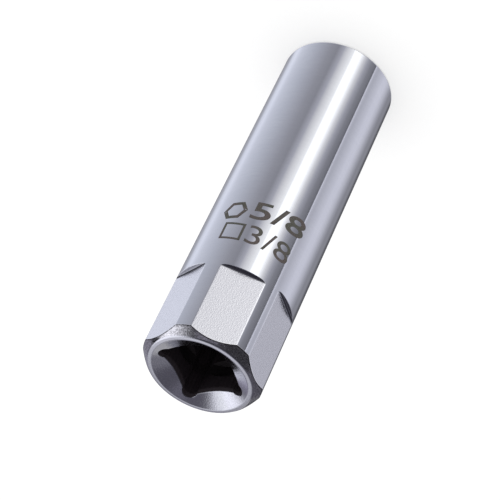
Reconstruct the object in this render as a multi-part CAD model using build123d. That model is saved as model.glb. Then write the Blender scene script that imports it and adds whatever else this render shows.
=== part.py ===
from build123d import *
from math import cos, radians, tan
import os

# Spark plug socket for plugs with a 16 mm hexagon, driven by a 10 mm (3/8 inch) square.
# It stands on its nose, the end that goes over the plug, with the drive end up.
# +Z runs along the turning axis from nose to drive end. One milled flat faces -Y.
# All sizes are in millimetres.

# Turned outside of the body
body_d = 20.0
body_length = 70.0
nose_chamfer = 0.35
drive_chamfer_width = 1.25
drive_chamfer_height = 1.5

# Six milled flats for an open-ended spanner, at the drive end. The cutter ran on further on the last.
flat_count = 6
flat_cut_depth = 0.75
flat_length = 15.0
flat_root_fillet = 0.4
last_flat_extra = 0.7

# Broached hexagon at the nose. A turned circle trims its corners, to leave this wall there.
plug_hex_size = 16.0
plug_hex_play = 0.1
plug_hex_depth = 22.0
hex_corner_wall = 0.8
nose_ring_width = 0.55
lead_in_angle = 30.0

# Turned groove where the broach runs out
runout_length = 1.5
runout_play = 0.03

# Magnet ring, which holds the plug by its steel shell
magnet_hole_d = 12.5
magnet_thickness = 6.0
magnet_chamfer = 0.4
magnet_play = 0.05

# Open snap ring of flat section below the magnet, in a groove of its own
snap_ring_width = 1.0
snap_ring_thickness = 0.9
snap_ring_play = 0.05
snap_ring_gap_angle = 40.0
snap_groove_depth = 0.45
snap_groove_land = 0.4

# Room for the plug's insulator and terminal, ending in the drill's point
insulator_bore_d = 14.0
insulator_bore_length = 23.0
shoulder_chamfer = 0.4
drill_point_angle = 118.0

# Broached square for the ratchet, over the hole that was drilled for the broach
drive_size = 9.8
drive_play = 0.1
drive_depth = 12.0
drive_angle = 38.0
relief_r = 1.2
relief_inset = 0.88
broach_allowance = 0.25

# Dished entry round the square, and the groove that the ratchet's ball snaps into
drive_ring_width = 0.65
dish_slope = 28.0
detent_distance = 6.2
detent_width = 3.4
detent_depth = 0.75
detent_flank = 0.7

# Sizes that follow from those above
body_r = body_d / 2
flat_r = body_r - flat_cut_depth
plug_hex_r = (plug_hex_size + plug_hex_play) / 2
hex_corner_r = body_r - hex_corner_wall
lead_in_r = body_r - nose_chamfer - nose_ring_width
runout_r = hex_corner_r + runout_play
runout_top = plug_hex_depth + runout_length
snap_groove_r = plug_hex_r + snap_groove_depth
snap_groove_bottom = runout_top + snap_groove_land
snap_groove_top = snap_groove_bottom + snap_ring_thickness + 2 * snap_ring_play
magnet_r = plug_hex_r - magnet_play
magnet_bottom = snap_groove_top
magnet_top = magnet_bottom + magnet_thickness
insulator_r = insulator_bore_d / 2
insulator_top = magnet_top + insulator_bore_length
drive_across = drive_size + drive_play
drive_half = drive_across / 2
drive_floor = body_length - drive_depth
pilot_r = drive_half - broach_allowance
dish_r = body_r - drive_chamfer_width - drive_ring_width
detent_r = drive_half + detent_depth


def revolved(points, arc=360):
    """Solid of revolution about Z from (radius, height) points, over a full turn or an arc."""
    with BuildPart() as part:
        with BuildSketch(Plane.XZ):
            with BuildLine():
                Polyline(*points, close=True)
            make_face()
        revolve(axis=Axis.Z, revolution_arc=arc)
    return part.part


def turned_blank():
    """Bar as it leaves the lathe: small chamfer at the nose, wide one at the drive end."""
    return revolved([
        (0, 0),
        (body_r - nose_chamfer, 0),
        (body_r, nose_chamfer),
        (body_r, body_length - drive_chamfer_height),
        (body_r - drive_chamfer_width, body_length),
        (0, body_length),
    ])


def flat_cutter(length):
    """Block that mills one flat and leaves a small fillet where the flat meets its shoulder."""
    side = body_d
    with BuildPart() as cutter:
        with Locations((0, -flat_r, body_length - length)):
            Box(side, side, side + length, align=(Align.CENTER, Align.MAX, Align.MIN))
        root = cutter.edges().filter_by(Axis.X).group_by(Axis.Z)[0].sort_by(Axis.Y)[-1]
        fillet(root, radius=flat_root_fillet)
    return cutter.part


def milled_flats():
    """The flats' cutters, evenly round the axis, the first on the -Y side."""
    step = 360 / flat_count
    lengths = [flat_length] * (flat_count - 1) + [flat_length + last_flat_extra]
    return [Rot(0, 0, step * index) * flat_cutter(length) for index, length in enumerate(lengths)]


def plug_hexagon():
    """Broached hexagon with trimmed corners, two of its faces square to Y like the outer flats."""
    with BuildPart() as part:
        with BuildSketch():
            RegularPolygon(plug_hex_r, 6, major_radius=False)
            Circle(hex_corner_r, mode=Mode.INTERSECT)
        extrude(amount=plug_hex_depth)
    return part.part


def plug_end_bore():
    """Everything turned from the nose: lead-in, broach run-out, snap groove, seat, insulator bore."""
    lead_in_height = (lead_in_r - plug_hex_r) * tan(radians(lead_in_angle))
    point_height = insulator_r / tan(radians(drill_point_angle / 2))
    lead_in = revolved([(0, 0), (lead_in_r, 0), (plug_hex_r, lead_in_height), (0, lead_in_height)])
    bore = revolved([
        (0, plug_hex_depth),
        (runout_r, plug_hex_depth),
        (runout_r, runout_top),
        (plug_hex_r, runout_top),
        (plug_hex_r, snap_groove_bottom),
        (snap_groove_r, snap_groove_bottom),
        (snap_groove_r, snap_groove_top),
        (plug_hex_r, snap_groove_top),
        (plug_hex_r, magnet_top),
        (insulator_r + shoulder_chamfer, magnet_top),
        (insulator_r, magnet_top + shoulder_chamfer),
        (insulator_r, insulator_top),
        (0, insulator_top + point_height),
    ])
    return lead_in + bore


def drive_square():
    """Broached square with a round relief in each corner."""
    centre = drive_half - relief_inset
    with BuildPart() as part:
        with BuildSketch(Plane.XY.offset(drive_floor)):
            Rectangle(drive_across, drive_across)
            with GridLocations(2 * centre, 2 * centre, 2, 2):
                Circle(relief_r)
        extrude(amount=drive_depth)
    return Rot(0, 0, drive_angle) * part.part


def drive_end_bore():
    """Pilot hole through the web, dished entry and the groove for the ratchet's ball."""
    dish_height = dish_r * tan(radians(dish_slope))
    pilot_length = body_length - insulator_top
    pilot = Cylinder(pilot_r, pilot_length, align=(Align.CENTER, Align.CENTER, Align.MIN))
    pilot = Pos(0, 0, insulator_top) * pilot
    dish = revolved([(0, body_length), (dish_r, body_length), (0, body_length - dish_height)])
    detent_z = body_length - detent_distance
    half = detent_width / 2
    inner = detent_r - detent_flank
    detent = revolved([
        (0, detent_z - half),
        (inner, detent_z - half),
        (detent_r, detent_z - half + detent_flank),
        (detent_r, detent_z + half - detent_flank),
        (inner, detent_z + half),
        (0, detent_z + half),
    ])
    return pilot + dish + detent


def make_socket_body():
    """The one-piece body: turned, milled with flats, bored from the nose, broached at both ends."""
    body = turned_blank()
    for cutter in milled_flats():
        body = body - cutter
    body = body - plug_end_bore()
    body = body - plug_hexagon()
    body = body - drive_end_bore()
    body = body - drive_square()
    return body


def make_magnet_ring():
    """Sintered magnet ring, pushed up against the shoulder at the end of its seat."""
    hole_r = magnet_hole_d / 2
    return revolved([
        (hole_r + magnet_chamfer, magnet_bottom),
        (magnet_r - magnet_chamfer, magnet_bottom),
        (magnet_r, magnet_bottom + magnet_chamfer),
        (magnet_r, magnet_top - magnet_chamfer),
        (magnet_r - magnet_chamfer, magnet_top),
        (hole_r + magnet_chamfer, magnet_top),
        (hole_r, magnet_top - magnet_chamfer),
        (hole_r, magnet_bottom + magnet_chamfer),
    ])


def make_snap_ring():
    """Open ring of flat spring steel that lies in its groove and keeps the magnet in."""
    outer_r = snap_groove_r - snap_ring_play
    inner_r = outer_r - snap_ring_width
    bottom = snap_groove_bottom + snap_ring_play
    top = bottom + snap_ring_thickness
    section = [(inner_r, bottom), (outer_r, bottom), (outer_r, top), (inner_r, top)]
    return revolved(section, 360 - snap_ring_gap_angle)


def main():
    os.makedirs("parts", exist_ok=True)
    export_step(make_socket_body(), "parts/socket_body.step")
    export_step(make_magnet_ring(), "parts/magnet_ring.step")
    export_step(make_snap_ring(), "parts/snap_ring.step")


main()
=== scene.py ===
import bmesh
import bpy
import numpy as np
from mathutils import Matrix, Vector


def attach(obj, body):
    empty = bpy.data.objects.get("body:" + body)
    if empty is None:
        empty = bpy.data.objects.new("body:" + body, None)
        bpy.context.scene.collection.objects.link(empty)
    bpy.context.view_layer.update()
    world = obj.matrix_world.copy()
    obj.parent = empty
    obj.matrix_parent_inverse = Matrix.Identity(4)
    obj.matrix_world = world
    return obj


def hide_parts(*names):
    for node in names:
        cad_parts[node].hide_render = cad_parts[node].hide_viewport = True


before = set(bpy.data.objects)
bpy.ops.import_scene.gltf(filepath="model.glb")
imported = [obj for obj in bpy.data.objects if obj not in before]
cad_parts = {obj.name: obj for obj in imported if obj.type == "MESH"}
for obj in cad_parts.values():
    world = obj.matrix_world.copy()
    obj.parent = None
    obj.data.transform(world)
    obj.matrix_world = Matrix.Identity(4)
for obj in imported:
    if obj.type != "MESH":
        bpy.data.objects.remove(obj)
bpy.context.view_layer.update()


# Socket body. One bar of chrome vanadium steel: turned outside, milled with six spanner flats, bored from
# the nose, and broached with a hexagon and a square. The surface is the wall's section, a closed line of
# radius and height, worked out at every angle round the axis. Sizes are in millimetres, angles in degrees.

body_r, body_length = 10.0, 70.0
nose_chamfer = 0.35
lead_in_r, lead_in_slope = 9.1, np.tan(np.radians(30))
flat_r, flat_start, root_r, above_root = 9.25, 55.0, 0.4, 0.15
shoulder_lean = 0.04                            # how far a shoulder leans back towards its flat
first_flat, flat_step = -90, 60
long_flat, long_flat_start = -150, 54.3         # the cutter ran on further here
chamfer_r, chamfer_height = 8.75, 1.5
ring_fall = 0.045                               # the facing tool left the ring falling outwards a little
dish_r, dish_slope = 8.1, np.tan(np.radians(28))
hex_r, hex_corner_r, hex_depth = 8.05, 9.2, 22.0
runout_r, runout_top = 9.23, 23.5
snap_groove_r, snap_groove_bottom, snap_groove_top = 8.5, 23.9, 24.9
seat_top, seat_chamfer = 30.9, 0.4
insulator_r, insulator_top = 7.0, 53.9
pilot_r, pilot_bottom, square_floor = 4.7, 55.28, 58.0
square_half, square_angle, relief_r, relief_centre = 4.95, 38.0, 1.2, 4.07
flare, flare_depth = 0.36, 0.7                  # the square's mouth is a little wide
flare_faced = 0.15                              # how much of it the facing tool left bright
detent_z, detent_r, detent_land, detent_flank = 63.8, 5.7, 1.0, 0.7
# Width over which the painted shadow line along the chamfer's outer edge fades out, to a row of points added
# on the chamfer
shadow_line_width = 0.15
edge_softness = 0.05                            # how far a milled edge is rounded off
apart = 0.02                                    # the least step where two edges would meet
long_wall_heights = (14, 28, 42)                # rows of points that cut the long plain wall in four


def from_nearest(angle, first, step):
    """Degrees from the nearest of the directions first, first + step, first + 2 step and so on."""
    return (angle - first + step / 2) % step - step / 2


def lesser(a, b, softness):
    """The lesser of a and b, less softness/4 * h^2, where h falls from 1 at a = b to 0 at
    |a - b| = softness."""
    h = np.clip(1 - np.abs(a - b) / softness, 0, 1)
    return np.minimum(a, b) - softness / 4 * h ** 2


def square_radius(angle):
    """Radius of the broached square: half its width over the cosine of the angle from the nearest wall,
    or, in a corner, the far side of the relief's circle on that ray: c cos b + sqrt(r^2 - c^2 sin^2 b)."""
    wall = square_half / np.cos(np.radians(from_nearest(angle, square_angle, 90)))
    centre = relief_centre * np.sqrt(2)
    b = np.radians(from_nearest(angle, square_angle + 45, 90))
    under_root = relief_r ** 2 - (centre * np.sin(b)) ** 2
    relief = centre * np.cos(b) + np.sqrt(np.maximum(under_root, 0))
    return np.where(under_root > 0, np.maximum(wall, relief), wall)


def about(centres, offsets):
    """Each centre plus each offset, and each centre less each offset."""
    return np.add.outer(centres, np.concatenate([offsets, np.negative(offsets)])).ravel()


def eased(corners, setbacks, steps):
    """Line round a section through its corners. Each corner C is turned by the curve
    (1-t)^2 A + 2t(1-t) C + t^2 B, where A and B lie a setback before and after it. A point a little
    further out on each side holds the straight run straight. Gives the points and each one's corner."""
    to_last, to_next = np.roll(corners, 1, axis=0) - corners, np.roll(corners, -1, axis=0) - corners
    run_last, run_next = (np.linalg.norm(run, axis=-1, keepdims=True) for run in (to_last, to_next))
    points, owners = [], []
    for i, (setback, count) in enumerate(zip(setbacks, steps)):
        reach = np.minimum(setback, 0.4 * np.minimum(run_last[i], run_next[i]))
        last, next_ = to_last[i] / run_last[i] * reach, to_next[i] / run_next[i] * reach
        if setback == 0:
            turn = corners[i][None]
        else:
            t = np.linspace(0, 1, count + 1)[:, None, None]
            curve = corners[i] + (1 - t) ** 2 * last + t ** 2 * next_
            turn = np.concatenate([[corners[i] + 1.2 * last], curve, [corners[i] + 1.2 * next_]])
        points.append(turn)
        owners.append(np.full(len(turn), i))
    return np.concatenate(points), np.concatenate(owners)


def turned_round(section, angles):
    """Section points (radius, height) set at their angles about Z: (r cos a, r sin a, z)."""
    a = np.radians(angles)
    radius, height = section[..., 0], section[..., 1]
    return np.stack([radius * np.cos(a), radius * np.sin(a), height + 0 * a], axis=-1)


def grid_quads(rows, columns, open_columns=0):
    """Quads of a grid whose rows close on themselves, and its columns too unless open_columns is 1."""
    corner = np.arange(rows * columns).reshape(rows, columns)
    above = np.roll(corner, -1, axis=0)
    quads = np.stack([corner, np.roll(corner, -1, axis=1), np.roll(above, -1, axis=1), above], axis=-1)
    return quads[:, :columns - open_columns].reshape(-1, 4)


def make_piece(name, points, faces, crisp=35):
    """Object at the origin whose mesh has these points, given in millimetres. Edges that turn by more
    than crisp degrees stay crisp, and the rest are shaded smooth."""
    mesh = bpy.data.meshes.new(name)
    mesh.from_pydata(np.asarray(points).reshape(-1, 3) * 0.001, [], faces)
    mesh.update()
    mesh.shade_smooth()
    mesh.set_sharp_from_angle(angle=np.radians(crisp))
    piece = bpy.data.objects.new(name, mesh)
    bpy.context.scene.collection.objects.link(piece)
    return piece


# Angles at which the section is worked out: every 1.5 degrees, and closer where an edge runs along the
# body, at the flats, at the hexagon's trimmed corners and in the square's reliefs
least_span = 0.03
flat_edge = np.degrees(np.arccos(flat_r / body_r))
near_flat_edge = np.array([-2.6, -1.4, -0.75, -0.45, -0.2, 0, 0.2, 0.45, 0.75, 1.4, 2.6])
hex_trim = np.round(flat_step / 2 - np.degrees(np.arccos(hex_r / hex_corner_r)), 2)
relief_span = np.degrees(np.arcsin(relief_r / (relief_centre * np.sqrt(2))))
in_relief = relief_span * np.array([1.005, 0.998, 0.98, 0.94, 0.87, 0.78, 0.67, 0.56, 0.44, 0.33, 0.22, 0.11])
angles = np.concatenate([
    np.arange(0, 360, 1.5),
    about(np.arange(first_flat, first_flat + 360, flat_step), flat_edge + near_flat_edge),
    about(np.arange(0, 360, flat_step), [hex_trim]),
    about(square_angle + np.arange(45, 405, 90), in_relief),
])
angles = np.unique(np.round(angles % 360, 3))
spans = np.diff(angles, append=angles[0] + 360)
angles = angles[spans > least_span]
spans = np.diff(angles, append=angles[0] + 360)
from_flat = from_nearest(angles, first_flat, flat_step)

# Radii and heights that change round the axis
outer_r = lesser(np.full_like(angles, body_r), flat_r / np.cos(np.radians(from_flat)), edge_softness)
on_long_flat = np.abs(from_nearest(angles, long_flat, 360)) < flat_step / 2
shoulder_z = np.where(on_long_flat, long_flat_start, flat_start)
chamfer_z = body_length - chamfer_height * (outer_r - chamfer_r) / (body_r - chamfer_r)
hexagon = np.minimum(hex_r / np.cos(np.radians(from_flat)), hex_corner_r)
mouth = np.maximum(lead_in_r, hexagon + apart)
lead_in_z = np.maximum((lead_in_r - hexagon) * lead_in_slope, apart)
square = square_radius(angles)
flare_top = body_length - (dish_r - square - flare) * dish_slope
detent = np.maximum(detent_r, square)
detent_side = detent_land + apart + detent - np.maximum(square, detent_r - detent_flank)


def shoulder_point(share):
    """Radius and height on a flat's shoulder, where share goes from 0 at the bar to 1 at the flat. Below
    the root's radius R the height rises by R - sqrt(R^2 - (R - d)^2), where d is the distance above the
    flat."""
    radius = body_r + (outer_r - body_r) * share
    above_flat = np.clip(radius * np.cos(np.radians(from_flat)) - flat_r, 0, root_r)
    rise = root_r - np.sqrt(root_r ** 2 - (root_r - above_flat) ** 2)
    return radius, shoulder_z + rise + shoulder_lean * share


# The finishes, in the order of the mesh's material slots
GROUND, BLASTED, MILLED, TURNED, FACED, BROACHED, BORED, SCORED = range(8)

# Radius, height, setback and steps of each corner, and the finish of the surface that follows it
shoulder_shares = (0.17, 0.3, 0.48, 0.6, 0.7, 0.79, 0.87, 0.93, 0.97, 0.99)
section = [
    (mouth, 0, 0.06, 2, TURNED),
    (body_r - nose_chamfer, 0, 0.09, 3, GROUND),
    (body_r, nose_chamfer, 0.09, 3, GROUND),
    *((body_r, z, 0, 0, GROUND) for z in long_wall_heights),
    (*shoulder_point(0), 0.1, 4, GROUND),
    *((*shoulder_point(share), 0, 0, MILLED) for share in shoulder_shares),
    (*shoulder_point(1), 0, 0, BLASTED),
    (outer_r, shoulder_z + root_r + above_root, 0, 0, BLASTED),
    (outer_r, chamfer_z, 0.08, 4, TURNED),
    # This row on the chamfer ends the painted shadow line along its outer edge
    (outer_r - shadow_line_width, chamfer_z + shadow_line_width * chamfer_height / (body_r - chamfer_r), 0, 0, TURNED),
    (chamfer_r, body_length - ring_fall, 0.18, 6, FACED),
    (dish_r, body_length, 0.15, 5, FACED),
    (square + flare, flare_top, 0.06, 3, FACED),
    (square + (1 - flare_faced) * flare, flare_top - flare_faced * flare_depth, 0, 0, BROACHED),
    (square, flare_top - flare_depth, 0.15, 3, BROACHED),
    (square, detent_z + detent_side, 0, 0, BORED),
    (detent, detent_z + detent_land, 0, 0, BORED),
    (detent, detent_z - detent_land, 0, 0, BORED),
    (square, detent_z - detent_side, 0, 0, BROACHED),
    (square, square_floor, 0, 0, BORED),
    (pilot_r, square_floor, 0, 0, BORED),
    (pilot_r, pilot_bottom, 0, 0, BORED),
    (insulator_r, insulator_top, 0, 0, BORED),
    (insulator_r, seat_top + seat_chamfer, 0, 0, BORED),
    (insulator_r + seat_chamfer, seat_top, 0, 0, BORED),
    (hex_r, seat_top, 0, 0, BORED),
    (hex_r, snap_groove_top, 0, 0, BORED),
    (snap_groove_r, snap_groove_top, 0, 0, BORED),
    (snap_groove_r, snap_groove_bottom, 0, 0, BORED),
    (hex_r, snap_groove_bottom, 0, 0, BORED),
    (hex_r, runout_top, 0, 0, BORED),
    (runout_r, runout_top, 0, 0, BORED),
    (runout_r, hex_depth, 0, 0, BORED),
    (hexagon, hex_depth, 0, 0, SCORED),
    (hexagon, lead_in_z, 0.05, 2, TURNED),
]
# Places in that list: the bar's edge at a shoulder comes after three corners at the nose and the rows on the
# long wall, and the chamfer's outer edge is the third corner after the shoulder's shares
shoulder_edge = 3 + len(long_wall_heights)
chamfer_edge = shoulder_edge + len(shoulder_shares) + 3
# After the chamfer's outer edge come the row that ends the painted shadow line, and the ring's edge
shadow_line_end, ring_edge = chamfer_edge + 1, chamfer_edge + 2
corners = np.array([[r + 0 * angles, z + 0 * angles] for r, z, *_ in section]).transpose(0, 2, 1)
setbacks, steps, finishes = (np.array(column) for column in list(zip(*section))[2:])
wall, owner = eased(corners, setbacks, steps)
body = make_piece("socket_body_plated", turned_round(wall, angles), grid_quads(*wall.shape[:2]))

# Flats are blasted, the shoulders at their ends stay as milled, and the strips between them are ground
on_flat = np.abs(from_nearest(angles + spans / 2, first_flat, flat_step)) < flat_edge
finish = np.repeat(finishes[owner][:, None], len(angles), axis=1)
finish = np.where(np.isin(finish, [BLASTED, MILLED]) & ~on_flat, GROUND, finish)
body.data.polygons.foreach_set("material_index", finish.ravel().astype(np.int32))

# The attribute edge is above 0 where a highlight is painted on the plate: 1 along each turned edge,
# as much along a shoulder as it stands out, up to full_step, and less along the edges of the flats
full_step, flat_highlight, flat_highlight_angle = 0.3, 0.4, 0.7
within_turn = (np.roll(owner, 1) == owner) & (np.roll(owner, -1) == owner)
standing_out = np.clip(body_r - outer_r, 0, full_step) / full_step
edge = within_turn[:, None] * np.where(owner[:, None] == shoulder_edge, standing_out, 1.0)
beside_flat = np.exp(-(np.abs(np.abs(from_flat) - flat_edge) / flat_highlight_angle) ** 2)
edge = np.maximum(edge, flat_highlight * (finishes[owner] == BLASTED)[:, None] * beside_flat)

# It is below 0 where shade is painted on the plate: a painted shadow line along the chamfer's outer edge,
# and the painted shade of a nick that a knock left down the chamfer, which is not cut in the shape
# The nick is painted shade only, darkest at its angle and reaching into the ring's edge
nick_shade_angle, nick_shade_half_angle, nick_shade_at_ring = -25, 6, 1.8
edge[np.flatnonzero(owner == chamfer_edge)[-4:]] = [[-0.3], [-1.0], [-1.0], [-1.0]]
nick_shade = np.exp(-(from_nearest(angles, nick_shade_angle, 360) / nick_shade_half_angle) ** 4)
edge[owner == shadow_line_end] = -nick_shade
edge[np.flatnonzero(owner == ring_edge)[:5]] -= nick_shade_at_ring * nick_shade
body.data.attributes.new("edge", "FLOAT", "POINT").data.foreach_set("value", edge.ravel().astype(np.float32))


def linear(code):
    """Linear RGBA of an sRGB hex colour: c/12.92 up to 0.04045, and ((c + 0.055)/1.055)^2.4 above it."""
    c = np.array([int(code[i:i + 2], 16) for i in (1, 3, 5)]) / 255
    return (*np.where(c <= 0.04045, c / 12.92, ((c + 0.055) / 1.055) ** 2.4), 1.0)


def add_node(tree, kind, inputs=None, **settings):
    """Adds a node with its settings. Each input, by name or number, takes a value, another node's output,
    or another node, whose first output it reads."""
    node = tree.nodes.new(kind)
    for key, value in settings.items():
        setattr(node, key, value)
    for key, value in (inputs or {}).items():
        source = value.outputs[0] if isinstance(value, bpy.types.Node) else value
        if isinstance(source, bpy.types.NodeSocket):
            tree.links.new(source, node.inputs[key])
        else:
            node.inputs[key].default_value = source
    return node


per_mm = 1000                   # the scale, in metres, of a pattern with one grain to the millimetre
middle = {1: 0.25, 2: 0.75}     # noise keeps near a half, so its middle is drawn out to a whole range


def new_material(name):
    """An empty node material: its tree and its own Object coordinates."""
    material = bpy.data.materials.new(name)
    material.use_nodes = True
    tree = material.node_tree
    tree.nodes.clear()
    place = add_node(tree, "ShaderNodeTexCoord").outputs["Object"]
    return material, tree, place


def finish_surface(tree, shade, colours, grain, roughness, relief, depth_mm, **constants):
    """Ends a material in one shader. The colour goes from the first hex code to the second as shade goes
    from 0 to 1, the roughness from its first value to its second as grain goes from a quarter to three
    quarters, and the bump stands depth_mm high where relief is 1."""
    first, second = map(linear, colours)
    mix = add_node(tree, "ShaderNodeMix", {0: shade, 6: first, 7: second}, data_type="RGBA")
    rough = add_node(tree, "ShaderNodeMapRange", {0: grain, **middle, 3: roughness[0], 4: roughness[1]})
    bump = add_node(tree, "ShaderNodeBump", {"Height": relief, "Distance": depth_mm * 0.001, "Strength": 1.0})
    inputs = {"Base Color": mix.outputs[2], "Roughness": rough, "Normal": bump}
    inputs.update({key.replace("_", " "): value for key, value in constants.items()})
    shader = add_node(tree, "ShaderNodeBsdfPrincipled", inputs)
    add_node(tree, "ShaderNodeOutputMaterial", {"Surface": shader})


def round_lines(tree, place, across_mm, along):
    """Noise drawn out round the axis, as a lathe or a grinding wheel leaves it. Its four coordinates are
    the direction from the axis times along, the radius and the height, so it has no seam."""
    flat = add_node(tree, "ShaderNodeVectorMath", {0: place, 1: (1, 1, 0)}, operation="MULTIPLY")
    turn = add_node(tree, "ShaderNodeVectorMath", {0: flat}, operation="NORMALIZE")
    turn = add_node(tree, "ShaderNodeVectorMath", {0: turn, 1: (along, along, 0)}, operation="MULTIPLY")
    radius = add_node(tree, "ShaderNodeVectorMath", {0: flat}, operation="LENGTH").outputs["Value"]
    radius = add_node(tree, "ShaderNodeMath", {0: radius, 1: per_mm / across_mm}, operation="MULTIPLY")
    height = add_node(tree, "ShaderNodeSeparateXYZ", {0: place}).outputs["Z"]
    height = add_node(tree, "ShaderNodeMath", {0: height, 1: per_mm / across_mm}, operation="MULTIPLY")
    radial = add_node(tree, "ShaderNodeCombineXYZ", {"Z": radius})
    vector = add_node(tree, "ShaderNodeVectorMath", {0: turn, 1: radial}, operation="ADD")
    inputs = {"Vector": vector, "W": height, "Scale": 1.0, "Detail": 2.0}
    return add_node(tree, "ShaderNodeTexNoise", inputs, noise_dimensions="4D")


# Satin nickel-chrome plate over a ground bar: a smooth sheen that carries clear bands of light, with
# the wheel's faint lines round it. Real lines are under 0.05 mm apart, and are drawn at 0.3 mm to show.
# The plate clouds over some 6 mm.
ground, tree, place = new_material("satin_nickel_chrome_plate_over_ground_steel")
lines = round_lines(tree, place, across_mm=0.3, along=6)
cloud = add_node(tree, "ShaderNodeTexNoise", {"Vector": place, "Scale": 0.16 * per_mm, "Detail": 3.0})
# Where the attribute edge is above 0 it lightens the colour: painted highlight along the edges
painted_edge_light = add_node(tree, "ShaderNodeAttribute", attribute_name="edge").outputs["Fac"]
shade = add_node(tree, "ShaderNodeMath", {0: lines, 1: cloud}, operation="MULTIPLY")
shade = add_node(tree, "ShaderNodeMath", {0: shade, 1: painted_edge_light}, operation="ADD")
shade = add_node(tree, "ShaderNodeMapRange", {0: shade, 1: 0.1, 2: 0.9})
finish_surface(tree, shade, ("#d3d5db", "#dfe1e4"), lines, (0.06, 0.085), lines, 0.0004, Metallic=1.0)

# The same plate over bead-blasted flats: an even sparkle of tiny dents, about 0.1 mm across on the
# real one and drawn at 0.18 mm, which is 5.6 to the millimetre
blasted, tree, place = new_material("satin_nickel_chrome_plate_over_bead_blasted_steel")
dents = add_node(tree, "ShaderNodeTexNoise", {"Vector": place, "Scale": 5.6 * per_mm, "Detail": 1.0})
# Where the attribute edge is above 0 it lightens the colour: painted highlight along the flats' edges
painted_edge_light = add_node(tree, "ShaderNodeAttribute", attribute_name="edge").outputs["Fac"]
shade = add_node(tree, "ShaderNodeMapRange", {0: dents, 1: 0.3, 2: 0.7, 4: 0.8})
shade = add_node(tree, "ShaderNodeMath", {0: shade, 1: painted_edge_light}, operation="ADD")
finish_surface(tree, shade, ("#d8d9de", "#eaeaee"), dents, (0.2, 0.3), dents, 0.026, Metallic=1.0)

# The same plate over the shoulders, left as the cutter made them: smooth, and darkened in the corner by
# painted shade, speckled at about 0.4 mm
milled, tree, place = new_material("milled_plate_with_painted_corner_shade")
dust_and_shade = add_node(tree, "ShaderNodeTexNoise", {"Vector": place, "Scale": 2.5 * per_mm, "Detail": 2.0})
shade = add_node(tree, "ShaderNodeMapRange", {0: dust_and_shade, **middle})
finish_surface(tree, shade, ("#7c7d84", "#94959b"), dust_and_shade, (0.1, 0.16), dust_and_shade, 0.0004, Metallic=1.0)

# The same plate over the lathe's own finish on the chamfer and the lead-in: torn by the tool in specks of
# about 0.24 mm, with rings at its 0.1 mm feed, drawn at 0.2 mm
turned, tree, place = new_material("nickel_chrome_plate_over_rough_turned_steel")
rings = round_lines(tree, place, across_mm=0.2, along=12)
specks = add_node(tree, "ShaderNodeTexNoise", {"Vector": place, "Scale": 4.2 * per_mm, "Detail": 1.0})
torn = add_node(tree, "ShaderNodeMath", {0: rings, 1: 0.6, 2: specks}, operation="MULTIPLY_ADD")
# The attribute edge adds painted highlight above 0 and painted shadow below it, down to the dark first
# colour; the tool's marks alone keep to the upper half of the range
painted_edge_light = add_node(tree, "ShaderNodeAttribute", attribute_name="edge").outputs["Fac"]
shade = add_node(tree, "ShaderNodeMapRange", {0: torn, 1: 0.6, 2: 1.0})
shade = add_node(tree, "ShaderNodeMath", {0: shade, 1: painted_edge_light}, operation="ADD")
shade = add_node(tree, "ShaderNodeMapRange", {0: shade, 1: -1.0, 2: 1.0})
finish_surface(tree, shade, ("#242429", "#f2f2f5"), rings, (0.14, 0.26), torn, 0.013, Metallic=1.0)

# The same plate over the finely faced ring and dished entry: rings 0.05 mm apart, drawn at 0.15 mm, and
# torn specks of about 0.24 mm between them
faced, tree, place = new_material("nickel_chrome_plate_over_faced_steel")
rings = round_lines(tree, place, across_mm=0.15, along=9)
specks = add_node(tree, "ShaderNodeTexNoise", {"Vector": place, "Scale": 4.2 * per_mm, "Detail": 1.0})
torn = add_node(tree, "ShaderNodeMath", {0: rings, 1: 0.6, 2: specks}, operation="MULTIPLY_ADD")
shade = add_node(tree, "ShaderNodeMapRange", {0: specks, **middle})
finish_surface(tree, shade, ("#cdced5", "#dedfe4"), rings, (0.09, 0.14), torn, 0.012, Metallic=1.0)

# Broached walls of the square: plate hardly reaches them, so they keep the dark scale of the heat
# treatment, with the broach's scores along Z, 0.2 mm apart
broached, tree, place = new_material("dark_heat_treated_steel_broached")
across, down = 5.0 * per_mm, 0.12 * per_mm
stretched = add_node(tree, "ShaderNodeMapping", {"Vector": place, "Scale": (across, across, down)})
scores = add_node(tree, "ShaderNodeTexNoise", {"Vector": stretched, "Scale": 1.0, "Detail": 2.0})
shade = add_node(tree, "ShaderNodeMapRange", {0: scores, **middle})
finish_surface(tree, shade, ("#1a1519", "#262025"), scores, (0.5, 0.7), scores, 0.006,
               Metallic=0.0, Specular_IOR_Level=0.25)

# Bored walls inside: the same dark scale over the drill's and the boring tool's rings, 0.15 mm apart
bored, tree, place = new_material("dark_heat_treated_steel_bored")
rings = round_lines(tree, place, across_mm=0.15, along=4)
shade = add_node(tree, "ShaderNodeMapRange", {0: rings, **middle})
finish_surface(tree, shade, ("#151114", "#1f1a1e"), rings, (0.5, 0.7), rings, 0.006,
               Metallic=0.0, Specular_IOR_Level=0.25)

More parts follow.
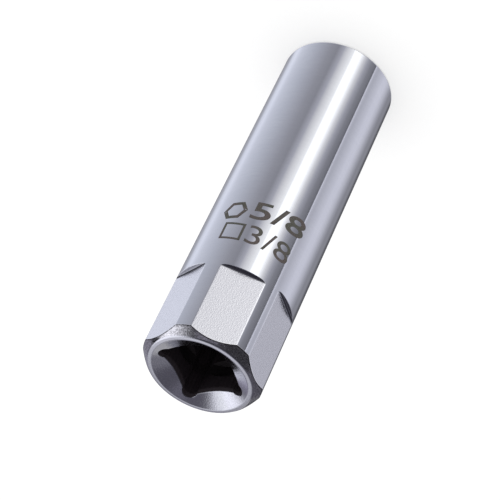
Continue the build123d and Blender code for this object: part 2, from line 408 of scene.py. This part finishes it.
# Broached walls of the hexagon: the wide nose lets the plate in, over the same scores. It is bright at
# the mouth and thins out towards the end, 22 mm in.
scored, tree, place = new_material("nickel_plate_over_broached_steel")
stretched = add_node(tree, "ShaderNodeMapping", {"Vector": place, "Scale": (across, across, down)})
scores = add_node(tree, "ShaderNodeTexNoise", {"Vector": stretched, "Scale": 1.0, "Detail": 2.0})
depth = add_node(tree, "ShaderNodeSeparateXYZ", {0: place}).outputs["Z"]
plate = add_node(tree, "ShaderNodeMapRange", {0: depth, 1: 0.0, 2: hex_depth * 0.001, 3: 0.7, 4: 0.0})
shade = add_node(tree, "ShaderNodeMapRange", {0: scores, **middle, 4: 0.3})
shade = add_node(tree, "ShaderNodeMath", {0: plate, 1: shade}, operation="ADD")
finish_surface(tree, shade, ("#4c494d", "#c4c5ca"), scores, (0.42, 0.56), scores, 0.006, Metallic=1.0)

for material in (ground, blasted, milled, turned, faced, broached, bored, scored):
    body.data.materials.append(material)
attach(body, "root")
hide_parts("socket_body")


# Magnet ring. Sintered magnet, pressed, ground flat and nickel plated against rust. It is
# pushed up its seat against the shoulder and grips the steel shell of the plug.

magnet_inner, magnet_outer, magnet_bottom, magnet_top = 6.25, 8.0, 24.9, 30.9
magnet_chamfer, magnet_rounding = 0.4, 0.12
corner_steps = 3
magnet_section = np.array([
    (magnet_inner + magnet_chamfer, magnet_bottom),
    (magnet_outer - magnet_chamfer, magnet_bottom),
    (magnet_outer, magnet_bottom + magnet_chamfer),
    (magnet_outer, magnet_top - magnet_chamfer),
    (magnet_outer - magnet_chamfer, magnet_top),
    (magnet_inner + magnet_chamfer, magnet_top),
    (magnet_inner, magnet_top - magnet_chamfer),
    (magnet_inner, magnet_bottom + magnet_chamfer),
])
magnet_angles = np.arange(0, 360, 3.0)
magnet_corners = np.repeat(magnet_section[:, None], len(magnet_angles), axis=1)
ring, _ = eased(magnet_corners, [magnet_rounding] * len(magnet_section), [corner_steps] * len(magnet_section))
magnet = make_piece("magnet_ring_plated", turned_round(ring, magnet_angles), grid_quads(*ring.shape[:2]))

# Nickel plate over pressed grains: bright, slightly yellow, with the soft pits of the sintered body,
# about 0.4 mm across
nickel, tree, place = new_material("nickel_plate_over_sintered_magnet")
pits = add_node(tree, "ShaderNodeTexNoise", {"Vector": place, "Scale": 2.6 * per_mm, "Detail": 3.0})
shade = add_node(tree, "ShaderNodeMapRange", {0: pits, **middle})
finish_surface(tree, shade, ("#a3a19c", "#bcbab4"), pits, (0.24, 0.36), pits, 0.008, Metallic=1.0)
magnet.data.materials.append(nickel)
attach(magnet, "root")
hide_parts("magnet_ring")


# Snap ring. Flat spring steel, coiled, cut open and oiled. It is squeezed in through the
# hexagon and springs out into its groove below the magnet, which it keeps in.

snap_inner, snap_outer, snap_bottom, snap_top = 7.45, 8.45, 23.95, 24.85
snap_gap, snap_rounding = 40.0, 0.1
snap_section = np.array([
    (snap_inner, snap_bottom),
    (snap_outer, snap_bottom),
    (snap_outer, snap_top),
    (snap_inner, snap_top),
])
snap_angles = np.linspace(0, 360 - snap_gap, 108)
snap_corners = np.repeat(snap_section[:, None], len(snap_angles), axis=1)
ring, _ = eased(snap_corners, [snap_rounding] * len(snap_section), [corner_steps] * len(snap_section))
rows, columns = ring.shape[:2]
first_end = np.arange(rows) * columns
last_end = (first_end + columns - 1)[::-1]
faces = [*grid_quads(rows, columns, open_columns=1).tolist(), first_end.tolist(), last_end.tolist()]
snap = make_piece("snap_ring_oiled", turned_round(ring, snap_angles), faces)

# Oiled spring steel: dark blue-grey from its tempering, with a thin film of oil, uneven over 1.4 mm
oiled, tree, place = new_material("oiled_tempered_spring_steel")
film = add_node(tree, "ShaderNodeTexNoise", {"Vector": place, "Scale": 0.7 * per_mm, "Detail": 4.0})
shade = add_node(tree, "ShaderNodeMapRange", {0: film, **middle})
finish_surface(tree, shade, ("#3a3d44", "#565a62"), film, (0.22, 0.42), film, 0.003, Metallic=1.0)
snap.data.materials.append(oiled)
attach(snap, "root")
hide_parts("snap_ring")


# Size marks. A laser darkens the plate in two short rows round the body: a hexagon with the size of the
# plug end, and a square with the size of the drive end. They are plain signs and fractions, as thin as
# the laser's oxide can be drawn.

mark_r, mark_depth = body_r + 0.006, 0.03       # the skin stands a hair proud and goes in from there
sign_height, figure_height, sign_gap = 3.7, 3.9, 0.7
side_steps = 12                                 # pairs of points along each side of a sign
figure_step = 0.3                               # how close together a figure is cut across


def polygon_sign(sides, height, stroke, turn):
    """Outline of a regular polygon, standing on the line, in the u, v plane: for each corner an outer and
    an inner point, and along each side more such pairs, evenly spaced. Gives points, quads and the width."""
    turns = np.radians(turn + np.arange(sides + 1) * 360 / sides)
    ring = np.stack([np.cos(turns), np.sin(turns)], axis=-1)
    size = height / np.ptp(ring[:, 1])
    t = np.linspace(0, 1, side_steps, endpoint=False)[:, None]
    path = np.concatenate([(1 - t) * a + t * b for a, b in zip(ring[:-1], ring[1:])])
    inner = 1 - stroke / (size * np.cos(np.pi / sides))
    points = np.stack([path * size, path * size * inner], axis=1)
    points += -points.reshape(-1, 2).min(axis=0)
    n = len(path)
    i = np.arange(n)
    j = (i + 1) % n
    quads = np.stack([2 * i, 2 * j, 2 * j + 1, 2 * i + 1], axis=-1)
    return points.reshape(-1, 2), quads.tolist(), np.ptp(points[..., 0])


def figures(text, height, stroke, width):
    """Figures as a flat mesh in the u, v plane, scaled to a height and a width: (u - least u) width/length
    and (v - least v) height/rise. They are cut across at even steps, so that they can bend."""
    curve = bpy.data.curves.new("figures", "FONT")
    curve.body, curve.offset = text, stroke
    letters = bpy.data.objects.new("figures", curve)
    bpy.context.scene.collection.objects.link(letters)
    bpy.context.view_layer.update()
    mesh = bpy.data.meshes.new_from_object(letters.evaluated_get(bpy.context.evaluated_depsgraph_get()))
    bpy.data.objects.remove(letters)
    cut = bmesh.new()
    cut.from_mesh(mesh)
    points = np.array([v.co[:2] for v in cut.verts])
    low, size = points.min(axis=0), np.ptp(points, axis=0)
    scaling = Matrix.Diagonal((width / size[0], height / size[1], 1, 1))
    cut.transform(scaling @ Matrix.Translation((-low[0], -low[1], 0)))
    bmesh.ops.remove_doubles(cut, verts=cut.verts, dist=1e-5)
    for u in np.arange(figure_step, width, figure_step):
        everything = [*cut.verts, *cut.edges, *cut.faces]
        bmesh.ops.bisect_plane(cut, geom=everything, plane_co=(u, 0, 0), plane_no=(1, 0, 0))
    bmesh.ops.triangulate(cut, faces=cut.faces)
    cut.verts.index_update()
    points = np.array([v.co[:2] for v in cut.verts])
    faces = [[v.index for v in face.verts] for face in cut.faces]
    cut.free()
    bpy.data.meshes.remove(mesh)
    return points, faces


mark_points, mark_faces = [], []


def lay_on_body(points, faces, start, base_z, rise):
    """Bends flat points (u, v) round the body, read with their tops towards the nose: the angle is
    start - u/r and the height base_z - v - rise u."""
    u, v = points.T
    a = np.radians(start) - u / body_r
    first = sum(map(len, mark_points))
    mark_points.append(np.stack([mark_r * np.cos(a), mark_r * np.sin(a), base_z - v - rise * u], axis=-1))
    mark_faces.extend([[first + i for i in face] for face in faces])


# The plug end's row is bold, the drive end's row light, and each runs a little askew. A row gives the
# sign's sides and turn, the figures, the sign's stroke and theirs, its start, base and rise, and their width.
for sides, turn, text, stroke, weight, start, base_z, rise, width in (
    (6, 0, "5/8", 0.62, 0.014, -43.5, 45.1, 0.10, 9.5),
    (4, 45, "3/8", 0.42, 0.0, -52.0, 49.5, -0.04, 7.9),
):
    points, faces, sign_width = polygon_sign(sides, sign_height, stroke, turn)
    lay_on_body(points, faces, start, base_z, rise)
    points, faces = figures(text, figure_height, weight, width)
    lay_on_body(points + [sign_width + sign_gap, 0], faces, start, base_z, rise)

marks = make_piece("size_marks", np.concatenate(mark_points), mark_faces)
thick = marks.modifiers.new("oxide", "SOLIDIFY")
thick.thickness, thick.offset = mark_depth * 0.001, -1.0

# Laser oxide on chrome: a matt brown-grey skin whose tint drifts over 2.4 mm with its thickness. Its
# grain is finer than the picture shows, and is drawn at 0.2 mm.
oxide, tree, place = new_material("laser_oxide_mark")
drift = add_node(tree, "ShaderNodeTexNoise", {"Vector": place, "Scale": 0.42 * per_mm, "Detail": 1.0})
speck = add_node(tree, "ShaderNodeTexNoise", {"Vector": place, "Scale": 5.2 * per_mm, "Detail": 1.0})
shade = add_node(tree, "ShaderNodeMapRange", {0: drift, 1: 0.35, 2: 0.65})
finish_surface(tree, shade, ("#5c5350", "#54544c"), speck, (0.5, 0.7), speck, 0.006, Metallic=0.3)
marks.data.materials.append(oxide)
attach(marks, "root")


# Studio. A pale matt floor, one large soft lamp, and a room whose cards and flags the plate
# mirrors: pale and grey strips low down round the object, and a large softbox behind it.

floor_half = 3000.0
floor_corners = [(x * floor_half, y * floor_half, 0) for x, y in ((-1, -1), (1, -1), (1, 1), (-1, 1))]
floor = make_piece("floor", floor_corners, [[0, 1, 2, 3]])

# White paper, with fibres of about 1 mm. To the camera half of it is pure white, and the other half keeps
# the socket's shadow. The plate mirrors the room instead of it.
paper, tree, place = new_material("matt_white_paper")
pure_share = 0.5
fibres = add_node(tree, "ShaderNodeTexNoise", {"Vector": place, "Scale": 0.9 * per_mm})
whites = {0: fibres, 6: linear("#f9f9f9"), 7: linear("#fbfbfb")}
tint = add_node(tree, "ShaderNodeMix", whites, data_type="RGBA")
sheet = add_node(tree, "ShaderNodeBsdfDiffuse", {"Color": tint.outputs[2]})
pure = add_node(tree, "ShaderNodeEmission", {"Color": linear("#ffffff"), "Strength": 1.0})
ray = add_node(tree, "ShaderNodeLightPath").outputs
camera_or_glossy = {0: ray["Is Camera Ray"], 1: ray["Is Glossy Ray"]}
seen = add_node(tree, "ShaderNodeMath", camera_or_glossy, operation="MAXIMUM")
seen = add_node(tree, "ShaderNodeMath", {0: seen, 1: ray["Is Transmission Ray"]}, operation="MAXIMUM")
seen = add_node(tree, "ShaderNodeMath", {0: seen, 1: pure_share}, operation="MULTIPLY")
surface = add_node(tree, "ShaderNodeMixShader", {0: seen, 1: sheet, 2: pure})
add_node(tree, "ShaderNodeOutputMaterial", {"Surface": surface})
floor.data.materials.append(paper)
floor.visible_glossy = False

# The soft lamp hangs over the socket, where the plate can't mirror it
lamp_height = 0.8
lamp = bpy.data.lights.new("soft_lamp", "AREA")
lamp.shape, lamp.size, lamp.energy = "DISK", 0.5, 3.0
lamp_object = bpy.data.objects.new("soft_lamp", lamp)
lamp_object.matrix_world = Matrix.Translation((0.0, 0.0, lamp_height))
lamp_object.visible_glossy = False
bpy.context.scene.collection.objects.link(lamp_object)


def bearing(degrees):
    """A direction round the socket, -180 to 180 degrees, as 0 to 1: (degrees + 180) / 360."""
    return (degrees + 180) / 360


def height(degrees):
    """How high a direction points: the sine of its degrees above the floor."""
    return np.sin(np.radians(degrees))


def lit(tree, strength, *edges):
    """Strength times a ramp for each edge (amount, start, end): 0 up to start, 1 from end on, and between
    them t^2 (3 - 2t), or plain t where the edge has LINEAR as its last word."""
    for amount, start, end, *kind in edges:
        inputs = {0: amount, 1: min(start, end), 2: max(start, end)}
        inputs.update({3: float(start > end), 4: float(start < end)})
        kind = kind[0] if kind else "SMOOTHSTEP"
        ramp = add_node(tree, "ShaderNodeMapRange", inputs, interpolation_type=kind)
        strength = add_node(tree, "ShaderNodeMath", {0: strength, 1: ramp}, operation="MULTIPLY")
    return strength


world = bpy.data.worlds.new("studio")
bpy.context.scene.world = world
world.use_nodes = True
tree = world.node_tree
tree.nodes.clear()
direction = add_node(tree, "ShaderNodeTexCoord").outputs["Generated"]
split = add_node(tree, "ShaderNodeSeparateXYZ", {0: direction}).outputs
up = split["Z"]
around = add_node(tree, "ShaderNodeMath", {0: split["Y"], 1: split["X"]}, operation="ARCTAN2")
around = add_node(tree, "ShaderNodeMapRange", {0: around, 1: -np.pi, 2: np.pi})

# Strips low down: the direction of each edge in degrees, how bright the strip is there, and its tint
plain, warm, cool, white = "#f3f3ff", "#f8f7fa", "#eff2ff", "#ffffff"
brightest = 1.6
strips = [
    (-180, 0.86, plain), (-158, 0.63, plain), (-153, 0.68, plain), (-152.3, 1.12, plain),
    (-151.8, 1.12, plain), (-151.2, 0.1, plain), (-147.5, 0.26, plain), (-139, 0.33, plain),
    (-129, 0.52, plain), (-120, 0.92, warm), (-110, brightest, white), (-96.5, brightest, white),
    (-95, 1.2, white), (-82, 0.9, warm), (-73, 0.56, plain), (-62, 0.37, plain), (-48, 0.43, plain),
    (-11, 0.7, cool), (18, 0.89, cool), (32, 1.09, cool), (42, 0.95, cool), (52, 0.56, cool),
    (66, 0.42, plain), (109, 0.1, plain), (125, 0.34, plain), (138, 0.35, plain), (148, 0.5, plain),
    (158, 0.72, plain), (168, 0.88, plain),
]
low_strips = add_node(tree, "ShaderNodeValToRGB", {0: around})
stops = low_strips.color_ramp.elements
while len(stops) < len(strips):
    stops.new(0.5)
for stop, (degrees, strength, tint) in zip(stops, strips):
    stop.position = bearing(degrees)
for stop, (degrees, strength, tint) in zip(stops, strips):
    stop.color = (*np.array(linear(tint)[:3]) * strength / brightest, 1.0)
lower = add_node(tree, "ShaderNodeVectorMath", {0: low_strips, "Scale": brightest}, operation="SCALE")

# Above the strips, a big softbox behind the socket. Its lower edge climbs as far as 60 degrees round,
# and is sharper up to 30 degrees than from 45 on.
softbox_strength, softbox_climb = 1.35, 2.0
climb = add_node(tree, "ShaderNodeMath", {0: around, 1: bearing(60)}, operation="MINIMUM")
tilted = add_node(tree, "ShaderNodeMath", {0: climb, 1: -softbox_climb, 2: up}, operation="MULTIPLY_ADD")
sharp_edge = lit(tree, 1.0, (tilted, -0.98, -0.78))
soft_side = lit(tree, 1.0, (around, bearing(30), bearing(45)))
edge_light = add_node(tree, "ShaderNodeMath", {0: sharp_edge, 1: soft_side}, operation="MAXIMUM")
edge_light = add_node(tree, "ShaderNodeMath", {0: softbox_strength, 1: edge_light}, operation="MULTIPLY")
softbox = lit(tree, edge_light, (around, bearing(-51), bearing(7)), (tilted, -1.11, -0.61),
              (around, bearing(140), bearing(30), "LINEAR"), (up, height(82), height(52)))

# Beside it five cards, a flag that takes light away, a grey wall and the ceiling, in a dark room: each
# one's strength and tint, the directions where it starts, is full, is still full and ends, and the same
# four as heights
dim, pale, card_white = "#ece7ff", "#f7f7ff", "#fffefc"
room_grey = 0.04
lights = [(pale, softbox), (dim, room_grey)]
for strength, tint, directions, heights in (
    (0.25, dim, (30, 40, 65, 80), (-26, -14, 3, 12)),
    (0.24, dim, (52, 62, 88, 100), (-10, -3, 15, 30)),
    (0.37, card_white, (88, 100, 112, 126), (-12, -5, 18, 30)),
    (0.95, dim, (78, 88, 100, 108), (-28, -21, -12, -7)),
    (0.2, dim, (-112, -90, -60, -45), (22, 32, 46, 56)),
    (-0.38, dim, (2, 20, 26, 36), (40, 48, 52, 62)),
    (0.08, dim, (60, 120, 178, 179), (-30, 0, 88, 90)),
    (0.10, dim, (-179, -178, 178, 179), (66, 85, 89, 90)),
):
    starts, full, still_full, ends = zip(bearing(np.array(directions)), height(np.array(heights)))
    sides = (around, starts[0], full[0]), (around, ends[0], still_full[0])
    top_and_bottom = (up, starts[1], full[1]), (up, ends[1], still_full[1])
    lights.append((tint, lit(tree, strength, *sides, *top_and_bottom)))
upper = (0, 0, 0)
for tint, light in lights:
    inputs = {0: linear(tint)[:3], "Scale": light}
    coloured = add_node(tree, "ShaderNodeVectorMath", inputs, operation="SCALE")
    upper = add_node(tree, "ShaderNodeVectorMath", {0: upper, 1: coloured}, operation="ADD")

# Between 20 and 150 degrees round, the strips fade out low, from 25 to 9 degrees below the level. From
# 165 on to 5 they are taller, and fade out from 10 degrees below it to 6 above it.
taller = add_node(tree, "ShaderNodeMath", {
    0: lit(tree, 1.0, (around, bearing(20), bearing(5))),
    1: lit(tree, 1.0, (around, bearing(150), bearing(165))),
}, operation="ADD")
rise = add_node(tree, "ShaderNodeMath", {0: taller, 1: -0.25, 2: up}, operation="MULTIPLY_ADD")
above = add_node(tree, "ShaderNodeMapRange", {0: rise, 1: -0.42, 2: -0.15})
mirrored = add_node(tree, "ShaderNodeMix", {0: above, 6: lower, 7: upper}, data_type="RGBA").outputs[2]

# Only mirrored rays see that room. All others see an even white one.
even_strength = 0.8
white_light = {0: linear("#ffffff")[:3], "Scale": even_strength}
even = add_node(tree, "ShaderNodeVectorMath", white_light, operation="SCALE")
glossy = add_node(tree, "ShaderNodeLightPath").outputs["Is Glossy Ray"]
light = add_node(tree, "ShaderNodeMix", {0: glossy, 6: even, 7: mirrored}, data_type="RGBA").outputs[2]
background = add_node(tree, "ShaderNodeBackground", {"Color": light, "Strength": 1.0})
add_node(tree, "ShaderNodeOutputWorld", {"Surface": background})


# Camera. A long lens above the drive end. It looks straight down at first, is rolled about its line of
# sight so that the socket lies across the picture, tipped up about X, and turned about Z.

camera_place = Vector((-17.695, -255.460, 252.378)) * 0.001
camera_roll, camera_tip, camera_turn = np.radians((-154.2907, 50.6998, -4.2651))
camera_data = bpy.data.cameras.new("camera")
camera_data.lens, camera_data.sensor_width = 145.3, 36.0
camera_data.clip_start, camera_data.clip_end = 0.01, 20.0
camera = bpy.data.objects.new("camera", camera_data)
camera_tilt = Matrix.Rotation(camera_tip, 4, "X") @ Matrix.Rotation(camera_roll, 4, "Z")
camera.matrix_world = Matrix.Translation(camera_place) @ Matrix.Rotation(camera_turn, 4, "Z") @ camera_tilt
bpy.context.scene.collection.objects.link(camera)
bpy.context.scene.camera = camera
bpy.context.scene.view_settings.view_transform = "Standard"
